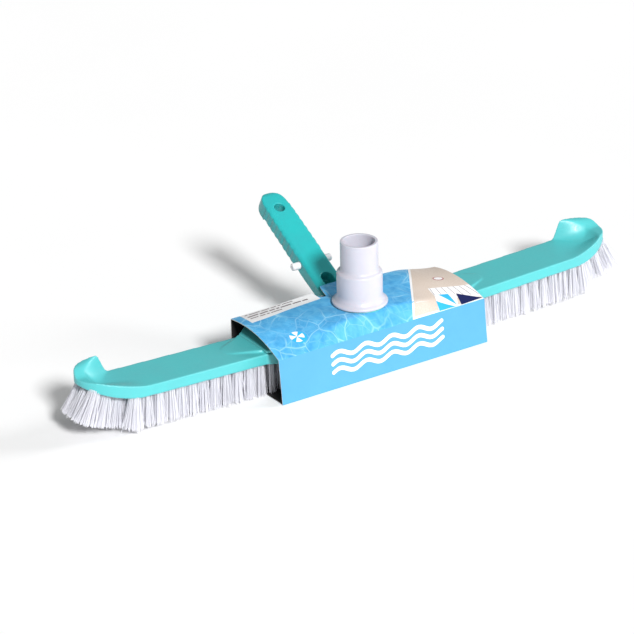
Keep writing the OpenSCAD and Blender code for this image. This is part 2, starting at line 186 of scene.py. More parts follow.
def floor_material():
    material, tree, bsdf = start_material("studio_floor")
    share = spread(tree, noise(tree, place_of(tree), 3, 4), 0.3, 0.7)
    colour = blend_colours(tree, share, (0.975, 0.975, 0.975), (0.99, 0.99, 0.99))
    tree.links.new(colour, bsdf.inputs["Base Color"])
    bsdf.inputs["Roughness"].default_value = 0.7
    return material


def plastic(name, colour, deep, rough=0.36, glow=0.12, wear_and_highlight=0.35):
    """Moulded plastic: cloudy colour, a fine moulded grain, scuffs, and convex edges made paler, partly as
    wear and partly as a painted highlight.
    """
    material, tree, bsdf = start_material(name)
    where = place_of(tree)
    cloud = spread(tree, noise(tree, where, 38, 5, 0.6), 0.3, 0.72)
    body = blend_colours(tree, cloud, colour, deep)
    geometry = add(tree, "NewGeometry")
    # Convex edges blend towards a paler colour: partly wear, partly a painted highlight
    edge = spread(tree, geometry.outputs["Pointiness"], 0.515, 0.6, 0, wear_and_highlight)
    pale_wear_and_highlight = tuple(min(1, 0.35 + 0.7 * c) for c in colour)
    tree.links.new(blend_colours(tree, edge, body, pale_wear_and_highlight), bsdf.inputs["Base Color"])
    scuffs = noise(tree, where, 420, 6, 0.7)
    tree.links.new(spread(tree, scuffs, 0.35, 0.75, rough - 0.06, rough + 0.16), bsdf.inputs["Roughness"])
    grain = noise(tree, where, 2600, 2)
    wave = noise(tree, where, 60, 2)
    height = maths(tree, "ADD", maths(tree, "MULTIPLY", grain, 0.14), wave)
    emboss(tree, bsdf, height, 0.22, 0.0002)
    bsdf.inputs["Subsurface Weight"].default_value = glow
    bsdf.inputs["Subsurface Radius"].default_value = (0.002, 0.004, 0.004)
    bsdf.inputs["Subsurface Scale"].default_value = 1.0
    bsdf.inputs["IOR"].default_value = 1.48
    return material


def mix_shaders(tree, share, first, second):
    node = add(tree, "MixShader", {0: share})
    tree.links.new(first, node.inputs[1])
    tree.links.new(second, node.inputs[2])
    return node.outputs["Shader"]


def nylon():
    """Bristle filaments: whitish nylon that lets some light through, each with its own tone."""
    material, tree, bsdf = start_material("nylon_bristle")
    tone = add(tree, "Attribute", attribute_name="tone")
    streak = noise(tree, place_of(tree), 900, 2)
    share = maths(tree, "MULTIPLY", tone.outputs["Fac"], spread(tree, streak, 0.3, 0.7, 0.75, 1.0))
    colour = blend_colours(tree, share, (0.93, 0.93, 0.975), (0.98, 0.98, 1.0))
    tree.links.new(colour, bsdf.inputs["Base Color"])
    bsdf.inputs["Roughness"].default_value = 0.42
    through = add(tree, "BsdfTranslucent")
    tree.links.new(colour, through.inputs["Color"])
    clear = add(tree, "BsdfTransparent")
    milky = mix_shaders(tree, 0.45, bsdf.outputs["BSDF"], through.outputs["BSDF"])
    tree.links.new(mix_shaders(tree, 0.25, milky, clear.outputs["BSDF"]),
                   tree.nodes["Material Output"].inputs["Surface"])
    return material


def metal(name, colour, rough, stretch):
    """Drawn or brushed metal: fine streaks along one axis, and a light tarnish."""
    material, tree, bsdf = start_material(name)
    streaks = noise(tree, place_of(tree, stretch), 900, 4, 0.6)
    stain = spread(tree, noise(tree, place_of(tree), 200, 4), 0.35, 0.75)
    dull = tuple(0.72 * c for c in colour)
    tree.links.new(blend_colours(tree, stain, colour, dull), bsdf.inputs["Base Color"])
    tree.links.new(spread(tree, streaks, 0.3, 0.7, rough - 0.08, rough + 0.12), bsdf.inputs["Roughness"])
    bsdf.inputs["Metallic"].default_value = 1.0
    emboss(tree, bsdf, streaks, 0.15, 0.00005)
    return material


def rubber():
    material, tree, bsdf = start_material("seal_rubber")
    dust = spread(tree, noise(tree, place_of(tree), 700, 4), 0.45, 0.8)
    colour = blend_colours(tree, dust, (0.012, 0.012, 0.013), (0.05, 0.05, 0.05))
    tree.links.new(colour, bsdf.inputs["Base Color"])
    bsdf.inputs["Roughness"].default_value = 0.55
    emboss(tree, bsdf, noise(tree, place_of(tree), 2200, 3), 0.2, 0.00005)
    return material


def paper_coat(tree, bsdf, rough=0.34):
    """The coating of printed card: fine fibres and faint waves."""
    where = place_of(tree)
    fibre = noise(tree, where, 1500, 4, 0.65)
    wave = noise(tree, place_of(tree, (1, 2.2, 1)), 28, 2)
    height = maths(tree, "ADD", maths(tree, "MULTIPLY", fibre, 0.07), wave)
    emboss(tree, bsdf, height, 0.3, 0.0005)
    tree.links.new(spread(tree, fibre, 0.3, 0.7, rough - 0.05, rough + 0.12), bsdf.inputs["Roughness"])
    bsdf.inputs["IOR"].default_value = 1.4
    return where


def ink(name, colour, deep, rough=0.34):
    """One flat ink on card, with slightly uneven coverage."""
    material, tree, bsdf = start_material(name)
    where = paper_coat(tree, bsdf, rough)
    share = spread(tree, noise(tree, where, 45, 5, 0.65), 0.3, 0.7)
    speck = spread(tree, noise(tree, where, 2400, 2), 0.62, 0.75, 0, 0.25)
    even = blend_colours(tree, share, colour, deep)
    paler = tuple(min(1, c * 1.15 + 0.03) for c in colour)
    tree.links.new(blend_colours(tree, speck, even, paler), bsdf.inputs["Base Color"])
    return material


def pool_water():
    """A printed view of sunlit pool water: pale caustic lines over mottled blue."""
    material, tree, bsdf = start_material("print_water")
    paper_coat(tree, bsdf)
    layout = add(tree, "UVMap", uv_map="print")
    warp = add(tree, "TexNoise", {"Scale": 34.0, "Detail": 2.0})
    tree.links.new(layout.outputs["UV"], warp.inputs["Vector"])
    push = add(tree, "VectorMath", {1: (0.020, 0.020, 0)}, operation="MULTIPLY")
    tree.links.new(warp.outputs["Color"], push.inputs[0])
    warped = add(tree, "VectorMath", operation="ADD")
    tree.links.new(layout.outputs["UV"], warped.inputs[0])
    tree.links.new(push.outputs["Vector"], warped.inputs[1])
    ripple = blue_mottle(tree, layout.outputs["UV"])
    nets = []
    for scale, width, strength in ((50, 0.038, 0.66), (94, 0.030, 0.34)):
        cells = add(tree, "TexVoronoi", {"Scale": scale, "Randomness": 1.0}, feature="DISTANCE_TO_EDGE")
        tree.links.new(warped.outputs["Vector"], cells.inputs["Vector"])
        nets.append(spread(tree, cells.outputs["Distance"], 0.0, width, strength, 0.0))
    net = maths(tree, "MAXIMUM", nets[0], nets[1])
    fade = spread(tree, noise(tree, layout.outputs["UV"], 30, 2), 0.36, 0.6, 0.15, 1.0)
    lines = maths(tree, "MULTIPLY", net, fade)
    tree.links.new(blend_colours(tree, lines, ripple, (0.42, 0.76, 0.94)), bsdf.inputs["Base Color"])
    return material


def blue_mottle(tree, vector):
    """Soft patches of lighter and deeper pool blue."""
    share = spread(tree, noise(tree, vector, 60, 4, 0.6), 0.32, 0.68)
    fine = spread(tree, noise(tree, vector, 170, 3), 0.4, 0.65, 0, 0.45)
    base = blend_colours(tree, share, (0.045, 0.30, 0.62), (0.095, 0.46, 0.80))
    return blend_colours(tree, fine, base, (0.16, 0.55, 0.85))


def sand():
    material, tree, bsdf = start_material("print_sand")
    where = paper_coat(tree, bsdf)
    grains = spread(tree, noise(tree, where, 1300, 3), 0.35, 0.7)
    drift = spread(tree, noise(tree, where, 40, 4), 0.3, 0.7)
    base = blend_colours(tree, drift, (0.67, 0.57, 0.49), (0.74, 0.65, 0.58))
    tree.links.new(blend_colours(tree, grains, base, (0.60, 0.50, 0.42)), bsdf.inputs["Base Color"])
    return material


TEAL = plastic("teal_plastic", (0.085, 0.520, 0.535), (0.095, 0.490, 0.515), 0.36, 0.10)
# The same teal plastic as above in a darker, more saturated copy for the handle: painted shade
TEAL_SHADED = plastic("teal_plastic_painted_shade", (0.018, 0.440, 0.440), (0.024, 0.400, 0.415), 0.34, 0.10, 0.06)
WHITE = plastic("white_plastic", (0.58, 0.57, 0.64), (0.55, 0.54, 0.61), 0.33, 0.18, 0.2)
BUTTON = plastic("button_plastic", (0.84, 0.84, 0.86), (0.80, 0.80, 0.82), 0.32, 0.2, 0.2)
NYLON = nylon()
STEEL = metal("steel", (0.60, 0.61, 0.63), 0.3, (1, 14, 14))
BRASS = metal("staple_brass", (0.66, 0.47, 0.19), 0.34, (1, 10, 1))
RUBBER = rubber()
WATER = pool_water()
PLAIN_BLUE = ink("print_blue", (0.100, 0.370, 0.62), (0.090, 0.350, 0.60))
# Two materials for the inside: the cutters would merge slots that hold the same one
CARD_INSIDE = ink("card_inside", (0.012, 0.010, 0.011), (0.022, 0.018, 0.018), 0.6)
CARD_INSIDE_LOW = ink("card_inside_low", (0.012, 0.010, 0.011), (0.022, 0.018, 0.018), 0.6)
CARD_CORE = ink("card_core", (0.80, 0.79, 0.77), (0.70, 0.69, 0.67), 0.7)
SAND = sand()
PAPER_WHITE = ink("print_white", (0.90, 0.90, 0.90), (0.86, 0.86, 0.87))
SKY = ink("print_sky", (0.03, 0.47, 0.84), (0.04, 0.44, 0.80))
NAVY = ink("print_navy", (0.006, 0.012, 0.075), (0.010, 0.016, 0.10))
GREY_INK = ink("print_grey", (0.20, 0.16, 0.17), (0.27, 0.22, 0.23))
ROSE_INK = ink("print_rose", (0.42, 0.14, 0.15), (0.50, 0.22, 0.20))

# ---------------------------------------------------------------- shared mesh tools


def ease(value, low, high):
    """Rises smoothly from 0 to 1 as value goes from low to high."""
    t = min(1.0, max(0.0, (value - low) / (high - low)))
    return t * t * (3 - 2 * t)


def new_piece(name, mesh, materials, body, slot, *nodes):
    """Links a finished mesh as a piece that rides on a body. materials are for a mesh that has none yet."""
    piece = bpy.data.objects.new(name, mesh)
    bpy.context.scene.collection.objects.link(piece)
    if not mesh.materials:
        for material in materials:
            mesh.materials.append(material)
    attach(piece, body)
    if nodes:
        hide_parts(*nodes)
    return piece


def everything(bm):
    return bm.verts[:] + bm.edges[:] + bm.faces[:]


def smooth_shading(mesh, sharp_above=None):
    mesh.polygons.foreach_set("use_smooth", [True] * len(mesh.polygons))
    if sharp_above is not None:
        mesh.set_sharp_from_angle(angle=math.radians(sharp_above))


def applied(piece):
    """The piece's mesh with its modifiers applied. The piece itself is removed."""
    bpy.context.view_layer.update()
    mesh = bpy.data.meshes.new_from_object(piece.evaluated_get(bpy.context.evaluated_depsgraph_get()))
    bpy.data.objects.remove(piece)
    return mesh


def welded_copy(node):
    """A CAD node's mesh as a bmesh, with its faces joined along their edges."""
    bm = bmesh.new()
    bm.from_mesh(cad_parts[node].data)
    bmesh.ops.remove_doubles(bm, verts=bm.verts, dist=1e-6)
    return bm


def moulded(node, name, voxel, rounds, material, body, slot, shape=welded_copy, finish=None):
    """A CAD node as it leaves the mould: every edge gets a small real radius."""
    bm = shape(node)
    mesh = bpy.data.meshes.new(name)
    bm.to_mesh(mesh)
    bm.free()
    draft = bpy.data.objects.new(name + "_draft", mesh)
    bpy.context.scene.collection.objects.link(draft)
    remesh = draft.modifiers.new("voxels", "REMESH")
    remesh.mode = "VOXEL"
    remesh.voxel_size = voxel
    soften = draft.modifiers.new("soften", "SMOOTH")
    soften.factor = 0.5
    soften.iterations = rounds
    finished = applied(draft)
    finished.materials.clear()
    if finish:
        for vertex in finished.vertices:
            vertex.co = finish(vertex.co)
    smooth_shading(finished)
    return new_piece(name, finished, [material], body, slot, node)


def rounded(profile, radius, steps=4):
    """A closed profile with its corners rounded, each by no more than its edges allow."""
    points = [Vector(p) for p in profile]
    out = []
    for i, corner in enumerate(points):
        before, after = points[i - 1] - corner, points[(i + 1) % len(points)] - corner
        reach = min(radius, 0.45 * before.length, 0.45 * after.length)
        start, end = corner + before.normalized() * reach, corner + after.normalized() * reach
        for k in range(steps + 1):
            t = k / steps
            out.append(start * (1 - t) ** 2 + corner * 2 * t * (1 - t) + end * t ** 2)
    return out


def lathe(profile, turns=128):
    """A mesh turned about the Z axis from a closed profile of (radius, height) in metres."""
    bm = bmesh.new()
    rings = []
    for k in range(turns):
        a = 2 * math.pi * k / turns
        rings.append([bm.verts.new((p[0] * math.cos(a), p[0] * math.sin(a), p[1])) for p in profile])
    count = len(profile)
    for k in range(turns):
        here, there = rings[k], rings[(k + 1) % turns]
        for i in range(count):
            bm.faces.new((here[i], there[i], there[(i + 1) % count], here[(i + 1) % count]))
    bmesh.ops.recalc_face_normals(bm, faces=bm.faces)
    mesh = bpy.data.meshes.new("lathed")
    bm.to_mesh(mesh)
    bm.free()
    return mesh


# ---------------------------------------------------------------- the body's moulded ends

ARM_FRONT, ARM_BACK = -15.55, 27.95
END_START, END_OVERLAP = 206.0, 1.5
SWEEP_X, SWEEP_Y, SWEEP_LEN = 213.0, 14.0, 50.5
CORNER_R = 14.0
BEND_X, BEND_R = 214.0, 110.0
RIM = 9.4
CREASE_X, CREASE_Y, CREASE_R = 171.0, -20.0, 71.4
LIP_LOW, LIP_CORNER, LIP_PEAK = 7.0, 5.0, 4.2
LIP_LEAD, LIP_FOOT, LIP_FLARE = 1.5, 6.0, 1.15
# How far out the peak fades away, and how far back the peak and the corner rise
PEAK_FADE, PEAK_RISE, CORNER_RISE = (232, 264), (10, 28), (11, 24)
OUTER_SLOPE, OUTER_LIFT, OUTER_RISE = 2.3, 7.0, (13.5, 21)
FRONT_SLOPE = 0.75
LEFT_SLACK = 5.0
CLIMB_X, CLIMB_SPAN, CLIMB_RATE, CLIMB_EASE = 212.0, 41.0, 0.2, 6.0
RIM_FADE = 20


def arm_top(x):
    """The height of the arm's flat top face."""
    return 37.0 + (x - 103) * math.tan(math.radians(1.77))


def front_of(x):
    """The end's front outline: straight, then a long sweep."""
    t = min(1.0, max(0.0, (x - SWEEP_X) / SWEEP_LEN))
    return SWEEP_Y - (SWEEP_Y - ARM_FRONT) * math.sqrt(1 - t * t)


def back_of(x):
    """The end's back outline: straight, then a tight corner."""
    t = min(1.0, max(0.0, (x - (SWEEP_X + SWEEP_LEN - CORNER_R)) / CORNER_R))
    return SWEEP_Y + CORNER_R * math.sqrt(1 - t * t) - (CORNER_R - (ARM_BACK - SWEEP_Y))


def end_of(y):
    """How far out the end reaches at y."""
    if y < SWEEP_Y:
        t = min(1.0, (SWEEP_Y - y) / (SWEEP_Y - ARM_FRONT))
        return SWEEP_X + SWEEP_LEN * math.sqrt(1 - t * t)
    t = min(1.0, (y - SWEEP_Y) / CORNER_R)
    return SWEEP_X + SWEEP_LEN - CORNER_R * (1 - math.sqrt(1 - t * t))


def end_top(x, y, slack):
    """The top of the upturned end: a rim that climbs outwards and a bowl-shaped lip, highest at the back.

    The lip starts slack mm further out.
    """
    out = min(CLIMB_SPAN, max(0.0, x - CLIMB_X))
    climb = CLIMB_RATE * out * out / (out + CLIMB_EASE)
    rim_share = 1 - ease(y - front_of(x), 0, RIM_FADE)
    peak = LIP_PEAK * (1 - ease(x - slack, *PEAK_FADE)) * ease(y, *PEAK_RISE)
    crest = LIP_LOW + LIP_CORNER * ease(y, *CORNER_RISE) + peak
    inner = math.hypot(x - slack - CREASE_X, y - CREASE_Y) - CREASE_R
    to_edge = max(0.0, min(end_of(y) - x, ARM_BACK - y))
    wall = crest * ease(inner, -LIP_LEAD, LIP_FOOT + LIP_FLARE * to_edge)
    outer = climb + OUTER_SLOPE * max(0.0, end_of(y) - x) + OUTER_LIFT * ease(y, *OUTER_RISE)
    front = climb + FRONT_SLOPE * max(0.0, y - front_of(x))
    return arm_top(x) + max(min(wall, outer, front), climb * rim_share)


def end_bottom(x):
    out = max(0.0, x - BEND_X)
    return arm_top(x) - RIM + BEND_R - math.sqrt(BEND_R ** 2 - out ** 2)


def add_end(bm, side, columns=72, rows=44):
    """Adds one upturned end to the body as a closed block."""
    last = SWEEP_X + SWEEP_LEN - 0.03
    slack = LEFT_SLACK if side < 0 else 0.0
    grids = []
    for i in range(columns + 1):
        x = END_START + (last - END_START) * math.sin(math.pi / 2 * i / columns)
        low, high = front_of(x), back_of(x)
        column = []
        for j in range(rows + 1):
            y = low + (high - low) * (1 - math.cos(math.pi * j / rows)) / 2
            column.append((bm.verts.new(Vector((side * x, y, end_top(x, y, slack))) * MM),
                           bm.verts.new(Vector((side * x, y, end_bottom(x))) * MM)))
        grids.append(column)
    faces = []
    for i in range(columns):
        for j in range(rows):
            a, b, c, d = grids[i][j], grids[i + 1][j], grids[i + 1][j + 1], grids[i][j + 1]
            faces.append((a[0], b[0], c[0], d[0]))
            faces.append((a[1], d[1], c[1], b[1]))
        for j in (0, rows):
            a, b = grids[i][j], grids[i + 1][j]
            faces.append((a[0], a[1], b[1], b[0]) if j == 0 else (a[0], b[0], b[1], a[1]))
    for i in (0, columns):
        for j in range(rows):
            a, b = grids[i][j], grids[i][j + 1]
            faces.append((a[0], b[0], b[1], a[1]) if i == 0 else (a[0], a[1], b[1], b[0]))
    made = [bm.faces.new(f) for f in faces]
    if side < 0:
        bmesh.ops.reverse_faces(bm, faces=made)


def body_shape(node):
    """The CAD body with its two ends replaced by the full moulded shape."""
    bm = welded_copy(node)
    for side in (-1, 1):
        cut = bmesh.ops.bisect_plane(bm, geom=everything(bm),
                                     plane_co=(side * (END_START + END_OVERLAP) * MM, 0, 0),
                                     plane_no=(side, 0, 0), clear_outer=True)
        edges = [e for e in cut["geom_cut"] if isinstance(e, bmesh.types.BMEdge)]
        bmesh.ops.holes_fill(bm, edges=edges)
    for side in (-1, 1):
        add_end(bm, side)
    bmesh.ops.triangulate(bm, faces=[f for f in bm.faces if len(f.verts) > 4])
    return bm


# ---------------------------------------------------------------- handle

PIVOT = (34.0, 42.5)
HANDLE_TILT = math.radians(29)
TIP_START, TIP_SPAN, TIP_DROP, TIP_STRETCH = 96.0, 23.0, 2.6, 3.4
# Heights from DROP_FLOOR up take part in the tip's drop, in full from DROP_SPAN above it
DROP_FLOOR, DROP_SPAN = -4, 8
ROUND_START, ROUND_SPAN, HANDLE_HALF = 104.5, 18.2, 12.3
GRIP_DEPTH, GRIP_PITCH = 0.6, 14.2
GRIP_START, GRIP_END = 50, 104
GRIP_INNER, GRIP_OUTER = 9.5, 12.0


def handle_finish(co):
    """Lengthens and rounds the handle's tip and puts shallow finger waves along both flanks."""
    y, z = co.y / MM - PIVOT[0], co.z / MM - PIVOT[1]
    along = y * math.cos(HANDLE_TILT) + z * math.sin(HANDLE_TILT)
    height = z * math.cos(HANDLE_TILT) - y * math.sin(HANDLE_TILT)
    across = co.x / MM
    if along > TIP_START and height > DROP_FLOOR:
        share = min(1.0, (height - DROP_FLOOR) / DROP_SPAN)
        height -= TIP_DROP * ((along - TIP_START) / TIP_SPAN) ** 2 * share
    if along > ROUND_START:
        along += TIP_STRETCH * ((along - ROUND_START) / (TIP_START + TIP_SPAN - ROUND_START)) ** 2
        t = min(0.995, (along - ROUND_START) / ROUND_SPAN)
        room = HANDLE_HALF * math.sqrt(1 - t * t)
        across = max(-room, min(room, across))
    if GRIP_START < along < GRIP_END:
        edge = ease(abs(across), GRIP_INNER, GRIP_OUTER)
        across += math.copysign(GRIP_DEPTH * edge * math.sin(2 * math.pi * along / GRIP_PITCH), across)
    y = along * math.cos(HANDLE_TILT) - height * math.sin(HANDLE_TILT)
    z = along * math.sin(HANDLE_TILT) + height * math.cos(HANDLE_TILT)
    return Vector((across, y + PIVOT[0], z + PIVOT[1])) * MM


# ---------------------------------------------------------------- bristles

TUFT_LENGTH = 26.9 * MM
TUFT_ROOT = 4.9 * MM
TUFT_TIP, END_TUFT_TIP = 7.2 * MM, 9.4 * MM
FILAMENT_R = 0.23 * MM
FLOOR_GAP = 0.15 * MM
STRAY_SHARE, STRAY_FLARE = 0.04, 1.35
# Shares of a filament's length at which it has a ring of points. The first is inside the body
STATIONS = np.array([-0.08, 0.15, 0.45, 0.75, 1.0])
RING = 4


def tufts(node):
    """(root, tip, direction) of each tuft in a CAD node, read from its separate solids."""
    bm = bmesh.new()
    bm.from_mesh(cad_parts[node].data)
    bmesh.ops.remove_doubles(bm, verts=bm.verts, dist=1e-6)
    seen, found = set(), []
    for first in bm.verts:
        if first in seen:
            continue
        seen.add(first)
        stack, members = [first], []
        while stack:
            vertex = stack.pop()
            members.append(tuple(vertex.co))
            for edge in vertex.link_edges:
                other = edge.other_vert(vertex)
                if other not in seen:
                    seen.add(other)
                    stack.append(other)
        found.append(np.array(members))
    bm.free()
    out = []
    for points in found:
        centre = points.mean(0)
        axis = np.linalg.svd(points - centre)[2][0]
        along = (points - centre) @ axis
        aside = np.linalg.norm(points - centre - np.outer(along, axis), axis=1)
        if aside[along < 0].max() > aside[along > 0].max():
            axis, along = -axis, -along
        tip = centre + axis * along.max()
        out.append((tip - axis * TUFT_LENGTH, tip, axis))
    return sorted(out, key=lambda t: tuple(np.round(t[0], 5)))


def rod_faces(rods, stations, sides):
    """The faces of several rods, each a stack of rings with a cap at both ends."""
    faces = []
    for k in range(stations - 1):
        for s in range(sides):
            a, b = k * sides + s, k * sides + (s + 1) % sides
            faces.append((a, b, b + sides, a + sides))
    faces.append(tuple(range(sides - 1, -1, -1)))
    faces.append(tuple((stations - 1) * sides + s for s in range(sides)))
    faces = np.array(faces)[None] + (np.arange(rods) * stations * sides)[:, None, None]
    return faces.reshape(-1, sides).tolist()


def filaments(rng, tuft, n, tuft_tip):
    """(points, tones) of a tuft's n filaments: rings of RING points at each of STATIONS."""
    root, _, axis = tuft
    u = np.cross(axis, (0, 1, 0))
    u /= np.linalg.norm(u)
    v = np.cross(axis, u)
    radius, angle = np.sqrt(rng.random(n)), 2 * np.pi * rng.random(n)
    out = np.cos(angle)[:, None] * u + np.sin(angle)[:, None] * v
    flare = tuft_tip * (1 + rng.normal(0, 0.09, n))
    stray = rng.random(n) < STRAY_SHARE
    flare[stray] *= STRAY_FLARE
    length = TUFT_LENGTH * (1 + rng.normal(0, 0.013, n))
    bend = rng.normal(0, 0.5 * MM, (n, 2))
    t = STATIONS[None, :]
    aside = radius[:, None] * (TUFT_ROOT + (flare[:, None] - TUFT_ROOT) * np.clip(t, 0, 1) ** 1.15)
    line = root + axis * (length[:, None] * t)[..., None] + out[:, None, :] * aside[..., None]
    curl = (t * (1 - t) * 2 + t * t)[..., None]
    line = line + (bend[:, None, 0:1] * u + bend[:, None, 1:2] * v) * curl
    line[..., 2] = np.maximum(line[..., 2], FLOOR_GAP + FILAMENT_R)
    turn = 2 * np.pi * (np.arange(RING) / RING)[None, :] + rng.random((n, 1)) * np.pi
    ring = np.cos(turn)[..., None] * u + np.sin(turn)[..., None] * v
    thick = FILAMENT_R * (1 + rng.normal(0, 0.08, n))[:, None, None, None]
    tones = np.repeat(rng.random(n), len(STATIONS) * RING)
    return line[:, :, None, :] + ring[:, None, :, :] * thick, tones


def bristles(name, node, per_tuft, seed, tuft_tip):
    """Every filament of a node's tufts as its own thin, slightly bent rod."""
    rng = np.random.default_rng(seed)
    verts, tones = zip(*(filaments(rng, tuft, per_tuft, tuft_tip) for tuft in tufts(node)))
    verts = np.concatenate(verts)
    mesh = bpy.data.meshes.new(name)
    mesh.from_pydata(verts.reshape(-1, 3).tolist(), [], rod_faces(len(verts), len(STATIONS), RING))
    tone = mesh.attributes.new("tone", "FLOAT", "POINT")
    tone.data.foreach_set("value", np.concatenate(tones).astype(np.float32))
    flip = bmesh.new()
    flip.from_mesh(mesh)
    bmesh.ops.recalc_face_normals(flip, faces=flip.faces)
    flip.to_mesh(mesh)
    flip.free()
    smooth_shading(mesh, 50)
    return new_piece(name, mesh, [NYLON], "brush", "bristles", node)


# ---------------------------------------------------------------- hose connector and buttons


def connector():
    low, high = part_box("hose_connector")
    flange_r = high.x / MM
    mouth = high.z / MM
    foot = low.z / MM
    step, flange = 79.0, 51.3
    stem_r, stem_bore, low_bore, low_r, top_r, bore = 17.95, 15.0, 16.4, 19.25, 15.85, 13.1
    outside = [(stem_bore, foot), (stem_r, foot), (stem_r, 43.35), (16.55, 43.35), (16.55, 44.85),
               (stem_r, 44.85), (stem_r, 47.1), (16.5, 47.1), (16.5, 48.9), (stem_r, 48.9),
               (stem_r, flange), (flange_r, flange), (flange_r, flange + 1.9), (flange_r - 2.4, flange + 3.6),
               (low_r + 0.5, flange + 6.2), (low_r, flange + 8.2), (low_r, step - 0.6),
               (low_r - 0.7, step + 0.5), (top_r + 0.7, step + 1.5), (top_r, step + 3.0), (top_r, mouth)]
    inside = [(bore, mouth), (bore, step - 1), (low_bore, step - 4), (low_bore, flange + 6),
              (stem_bore, flange + 2)]
    profile = rounded([(r * MM, z * MM) for r, z in outside + inside], 0.7 * MM)
    mesh = lathe(profile)
    smooth_shading(mesh, 40)
    new_piece("hose_connector_moulding", mesh, [WHITE], "connector", "white_plastic", "hose_connector")


def button(side):
    """A snap button, turned about the axis that its CAD node runs along."""
    node = "button_" + side
    low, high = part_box(node)
    centre = (low + high) / 2
    sign = 1 if side == "right" else -1
    inner, outer = (low.x, high.x) if sign > 0 else (-high.x, -low.x)
    flange_r = (high.y - low.y) / 2
    shaft_r = 3.25 * MM
    axis_r, flange_t, bevel = 0.02 * MM, 1.2 * MM, 0.9 * MM
    shape = [(axis_r, inner), (flange_r, inner), (flange_r, inner + flange_t), (shaft_r, inner + flange_t),
             (shaft_r, outer - bevel), (shaft_r - bevel, outer), (axis_r, outer)]
    mesh = lathe(rounded(shape, 0.5 * MM, 5), 64)
    mesh.transform(Matrix.Translation((0, centre.y, centre.z)) @ Matrix.Rotation(sign * math.pi / 2, 4, "Y"))
    smooth_shading(mesh, 40)
    new_piece(node + "_moulding", mesh, [BUTTON], node, "button_plastic", node)


SPRING_CUTS = 14


def spring_leaf(side):
    """Half of the clip's V spring, between the handle and its button, cut into short lengths along the
    handle.
    """
    sign = 1 if side == "right" else -1
    low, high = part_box("clip_spring")
    run = Vector((0, math.cos(HANDLE_TILT), math.sin(HANDLE_TILT)))
    bm = welded_copy("clip_spring")
    cut = bmesh.ops.bisect_plane(bm, geom=everything(bm), plane_co=(0, 0, 0), plane_no=(-sign, 0, 0),
                                 clear_outer=True)
    bmesh.ops.holes_fill(bm, edges=[e for e in cut["geom_cut"] if isinstance(e, bmesh.types.BMEdge)])
    for k in range(1, SPRING_CUTS):
        place = low.lerp(high, k / SPRING_CUTS)
        bmesh.ops.bisect_plane(bm, geom=everything(bm), plane_co=place, plane_no=run)
    mesh = bpy.data.meshes.new("spring_leaf_" + side)
    bm.to_mesh(mesh)
    bm.free()
    mesh.materials.clear()
    mesh.materials.append(STEEL)
    smooth_shading(mesh, 30)
    piece = bpy.data.objects.new("spring_leaf_" + side, mesh)
    bpy.context.scene.collection.objects.link(piece)
    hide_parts("clip_spring")
    button_low, button_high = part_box("button_" + side)
    held = (button_low + button_high) / 2
    held.x = 0
    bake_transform(piece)


# ---------------------------------------------------------------- the printed card sleeve

CARD_HALF = 103.3
CARD_THICK = 0.6 * MM
FRONT_LOW, FRONT_TOP, FOLD_Z = -38.6, -34.2, 38.6
BACK_Y = 38.0
ARCH_Y, CROWN_Z = 18.0, 51.0
ARCH_R = 116.07
TENT_SLOPE, TENT_Z, TENT_SOFT, TENT_FADE = 1.12, 50.75, 2.0, (24, 84)
SAG, SAG_RISE = 7.0, (58, 106)
CRINKLE = 0.25
HOLE_R = 22.75
NOTCH_HALF, NOTCH_Y, NOTCH_Z = 22.4, 26.6, 30.0
# How many faces the card has across it, up the front, over the top, down the back and underneath
ACROSS, UP, OVER, DOWN, UNDER = 120, 14, 54, 12, 16


def top_height(x, y):
    """Height in mm of the card's top: an arch, tented over the flange and slack towards the right end."""
    arch = CROWN_Z - ARCH_R + math.sqrt(ARCH_R ** 2 - (y - ARCH_Y) ** 2)
    rise = FOLD_Z + (y - FRONT_TOP) * TENT_SLOPE
    gap = rise - TENT_Z
    tent = 0.5 * (rise + TENT_Z - math.sqrt(gap * gap + TENT_SOFT * TENT_SOFT))
    near = 1 - ease(abs(x), *TENT_FADE)
    depth = (y - FRONT_TOP) / (BACK_Y - FRONT_TOP)
    sag = SAG * ease(x, *SAG_RISE) * max(0.0, depth) ** 0.75
    crinkle = CRINKLE * math.sin(x * 0.11 + y * 0.05) * math.sin(math.pi * min(1, max(0, depth)))
    return arch + near * max(0.0, tent - arch) - sag + crinkle


def card_point(x, v, lift=0.0):
    """A point of the card's outside, lift mm proud. v runs up the front (below 0) and back over the top."""
    if v < 0:
        height = FOLD_Z + v
        y = FRONT_TOP + (FRONT_LOW - FRONT_TOP) * (-v / FOLD_Z)
        bulge = 0.5 * math.sin(math.pi * height / FOLD_Z) * math.cos(x * math.pi / 2 / CARD_HALF)
        return Vector((x, y - bulge - lift, height)) * MM
    y = FRONT_TOP + v
    z = top_height(x, y)
    step = 0.5
    slope_y = (top_height(x, min(y + step, BACK_Y)) - z) / step
    slope_x = (top_height(min(x + step, CARD_HALF), y) - z) / step
    normal = Vector((-slope_x, -slope_y, 1)).normalized()
    return (Vector((x, y, z)) + normal * lift) * MM


